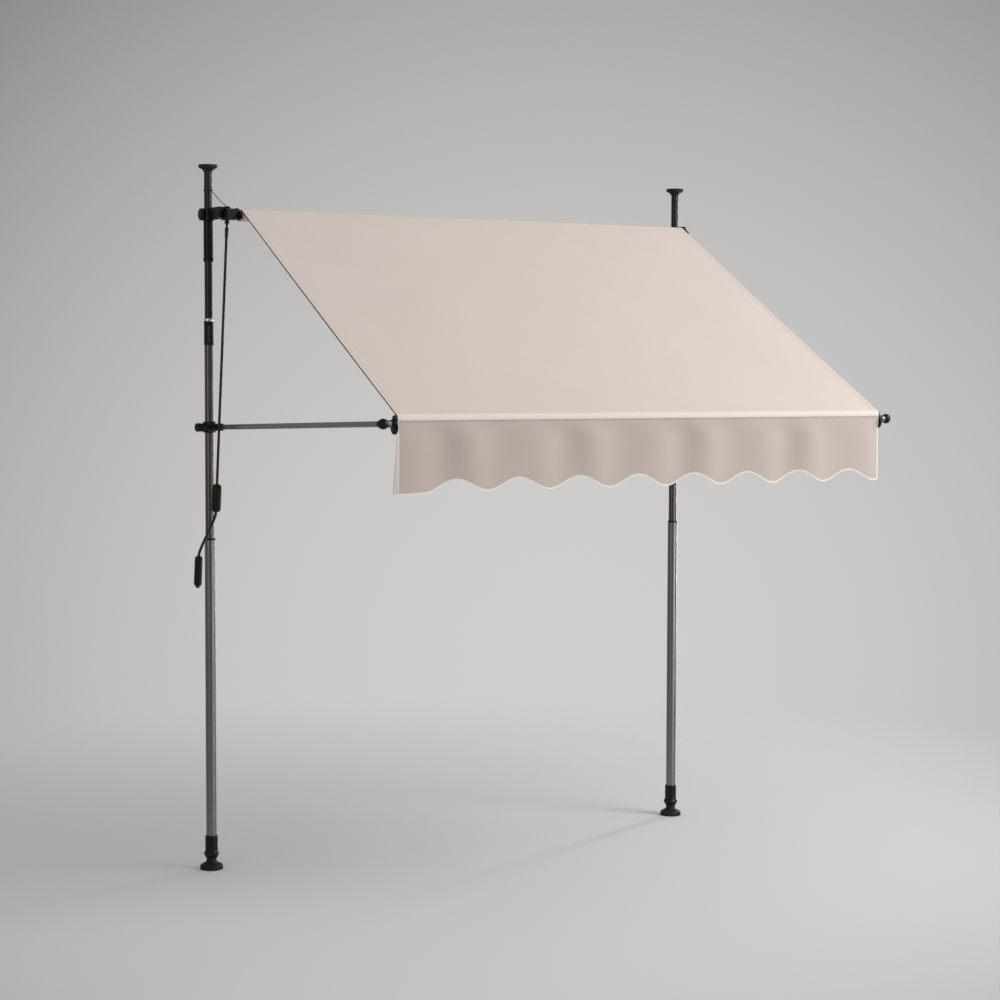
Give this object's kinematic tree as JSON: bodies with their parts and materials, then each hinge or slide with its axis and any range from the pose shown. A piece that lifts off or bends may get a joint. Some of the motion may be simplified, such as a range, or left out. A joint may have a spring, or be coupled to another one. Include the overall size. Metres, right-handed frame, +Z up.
{
  "type": "clamp awning",
  "caption": "Canvas awning on telescopic posts clamped between floor and ceiling, with drop arms, a scalloped valance and a hand crank.",
  "frame": {"origin": "on the floor, midway between the two posts", "axes": "+Z up, -Y forward away from the facade, +X from the post with the crank to the other post"},
  "size_m": [2.3148, 1.511, 2.7],
  "materials": {
    "steel_tube": "brushed",
    "plated_steel": "zinc plated",
    "dark_tube": "satin dark grey-brown",
    "black_tube": "satin black",
    "black_plastic": "moulded black",
    "pad_rubber": "black rubber",
    "polished_ring": "polished",
    "aluminium": "satin",
    "canopy_cloth": "plain woven cream canvas",
    "gear_brass": "machined"
  },
  "bodies": {
    "posts": {"left_lower_tube": "steel_tube", "right_lower_tube": "steel_tube", "left_tube_bush": "black_plastic", "right_tube_bush": "black_plastic"},
    "upper_frame": {"left_mid_tube": "dark_tube", "right_mid_tube": "dark_tube", "left_telescope_collar": "black_plastic", "right_telescope_collar": "black_plastic", "left_collar_screw": "plated_steel", "right_collar_screw": "plated_steel", "left_collar_ring": "polished_ring", "right_collar_ring": "polished_ring", "left_upper_tube": "black_tube", "right_upper_tube": "black_tube", "left_ceiling_pad": "pad_rubber", "right_ceiling_pad": "pad_rubber", "left_support_sleeve": "black_plastic", "right_support_sleeve": "black_plastic", "left_roller_bracket": "black_plastic", "right_roller_bracket": "black_plastic", "left_cheek_plate": "black_tube", "right_cheek_plate": "black_tube", "left_arm_clamp": "black_plastic", "right_arm_clamp": "black_plastic", "left_pivot_bolt": "plated_steel", "right_pivot_bolt": "plated_steel", "stay_eyelet": "black_tube", "stay_wire": "black_tube"},
    "roller": {"left_roller_cap": "plated_steel", "right_roller_cap": "plated_steel", "roller_tube": "aluminium", "worm_wheel": "gear_brass"},
    "canopy": {"canopy": "canopy_cloth"},
    "worm": {"worm_shaft": "plated_steel"},
    "crank_grip": {"crank_upper_grip": "black_plastic"},
    "crank": {"crank_joint": "plated_steel", "crank_rod": "black_tube"},
    "crank_handle": {"crank_handle_grip": "black_plastic"},
    "front_bar": {"left_end_spacer": "aluminium", "right_end_spacer": "aluminium", "left_bar_end_cap": "black_plastic", "right_bar_end_cap": "black_plastic", "front_bar": "aluminium", "valance": "canopy_cloth"},
    "left_arm": {"left_arm_root": "black_plastic", "left_arm_tube": "dark_tube", "left_arm_elbow": "black_plastic"},
    "left_sleeve": {"left_foot_sleeve": "black_plastic"},
    "left_foot": {"left_foot_pad": "pad_rubber", "left_foot_spindle": "plated_steel"},
    "left_arm_knob": {"left_arm_knob": "black_plastic"},
    "left_bracket_knob": {"left_bracket_knob": "black_plastic"},
    "right_arm": {"right_arm_root": "black_plastic", "right_arm_tube": "dark_tube", "right_arm_elbow": "black_plastic"},
    "right_sleeve": {"right_foot_sleeve": "black_plastic"},
    "right_foot": {"right_foot_pad": "pad_rubber", "right_foot_spindle": "plated_steel"},
    "right_arm_knob": {"right_arm_knob": "black_plastic"},
    "right_bracket_knob": {"right_bracket_knob": "black_plastic"}
  },
  "joints": [
    {"name": "height_slide", "type": "slide", "parent": "posts", "child": "upper_frame", "axis": [0, 0, 1], "range_m": [-0.4, 0.3]},
    {"name": "left_arm_swing", "type": "hinge", "parent": "upper_frame", "child": "left_arm", "pos_m": [-1.065, -0.04, 1.706], "axis": [-1, 0, 0], "range_deg": [0, 41], "deforming": ["canopy"]},
    {"name": "right_arm_swing", "type": "hinge", "parent": "upper_frame", "child": "right_arm", "pos_m": [1.065, -0.04, 1.706], "axis": [-1, 0, 0], "range_deg": [0, 41]},
    {"name": "front_bar_turn", "type": "hinge", "parent": "left_arm", "child": "front_bar", "pos_m": [-1.029, -1.443, 1.749], "axis": [-1, 0, 0], "range_deg": [-41, 0]},
    {"name": "roller_spin", "type": "hinge", "parent": "upper_frame", "child": "roller", "pos_m": [0, -0.146, 2.503], "axis": [-1, 0, 0], "range_deg": [0, 1340]},
    {"name": "canopy_slope", "type": "hinge", "parent": "upper_frame", "child": "canopy", "pos_m": [0, -0.146, 2.503], "axis": [-1, 0, 0], "range_deg": [0, 41]},
    {"name": "worm_turn", "type": "hinge", "parent": "upper_frame", "child": "worm", "pos_m": [-1.04, -0.1247, 2.472], "axis": [0, 0, 1], "range_deg": [0, 5900]},
    {"name": "crank_swing", "type": "hinge", "parent": "upper_frame", "child": "crank_grip", "pos_m": [-1.04, -0.1247, 2.472], "axis": [-1, 0, 0], "range_deg": [-3, 35]},
    {"name": "crank_turn", "type": "hinge", "parent": "crank_grip", "child": "crank", "pos_m": [-1.04, -0.1247, 2.472], "axis": [0.0462, 0, 0.9989], "range_deg": [0, 5900]},
    {"name": "handle_grip_spin", "type": "hinge", "parent": "crank", "child": "crank_handle", "pos_m": [-1.16241, -0.1247, 1.16827], "axis": [0.0462, 0, 0.9989], "continuous": true},
    {"name": "left_sleeve_turn", "type": "hinge", "parent": "posts", "child": "left_sleeve", "pos_m": [-1.065, 0, 0.09], "axis": [0, 0, 1], "range_deg": [0, 926]},
    {"name": "left_foot_slide", "type": "slide", "parent": "posts", "child": "left_foot", "axis": [0, 0, 1], "range_m": [0, 0.009]},
    {"name": "left_arm_knob_turn", "type": "hinge", "parent": "upper_frame", "child": "left_arm_knob", "pos_m": [-1.105, -0.04, 1.706], "axis": [-1, 0, 0], "range_deg": [0, 720]},
    {"name": "left_bracket_knob_turn", "type": "hinge", "parent": "upper_frame", "child": "left_bracket_knob", "pos_m": [-1.095, 0, 2.512], "axis": [-1, 0, 0], "range_deg": [0, 720]},
    {"name": "right_sleeve_turn", "type": "hinge", "parent": "posts", "child": "right_sleeve", "pos_m": [1.065, 0, 0.09], "axis": [0, 0, 1], "range_deg": [0, 926]},
    {"name": "right_foot_slide", "type": "slide", "parent": "posts", "child": "right_foot", "axis": [0, 0, 1], "range_m": [0, 0.009]},
    {"name": "right_arm_knob_turn", "type": "hinge", "parent": "upper_frame", "child": "right_arm_knob", "pos_m": [1.105, -0.04, 1.706], "axis": [1, 0, 0], "range_deg": [0, 720]},
    {"name": "right_bracket_knob_turn", "type": "hinge", "parent": "upper_frame", "child": "right_bracket_knob", "pos_m": [1.095, 0, 2.512], "axis": [1, 0, 0], "range_deg": [0, 720]}
  ],
  "couplings": [
    {"joint": "right_arm_swing", "follows": "left_arm_swing", "ratio": 1},
    {"joint": "front_bar_turn", "follows": "left_arm_swing", "ratio": -1},
    {"joint": "roller_spin", "follows": "left_arm_swing", "ratio": 32.3},
    {"joint": "canopy_slope", "follows": "left_arm_swing", "ratio": 0.98},
    {"joint": "worm_turn", "follows": "left_arm_swing", "ratio": 142.12},
    {"joint": "crank_turn", "follows": "left_arm_swing", "ratio": 142.12},
    {"joint": "left_sleeve_turn", "follows": "left_foot_slide", "rad_per_m": 1795.2},
    {"joint": "right_sleeve_turn", "follows": "right_foot_slide", "rad_per_m": 1795.2}
  ]
}
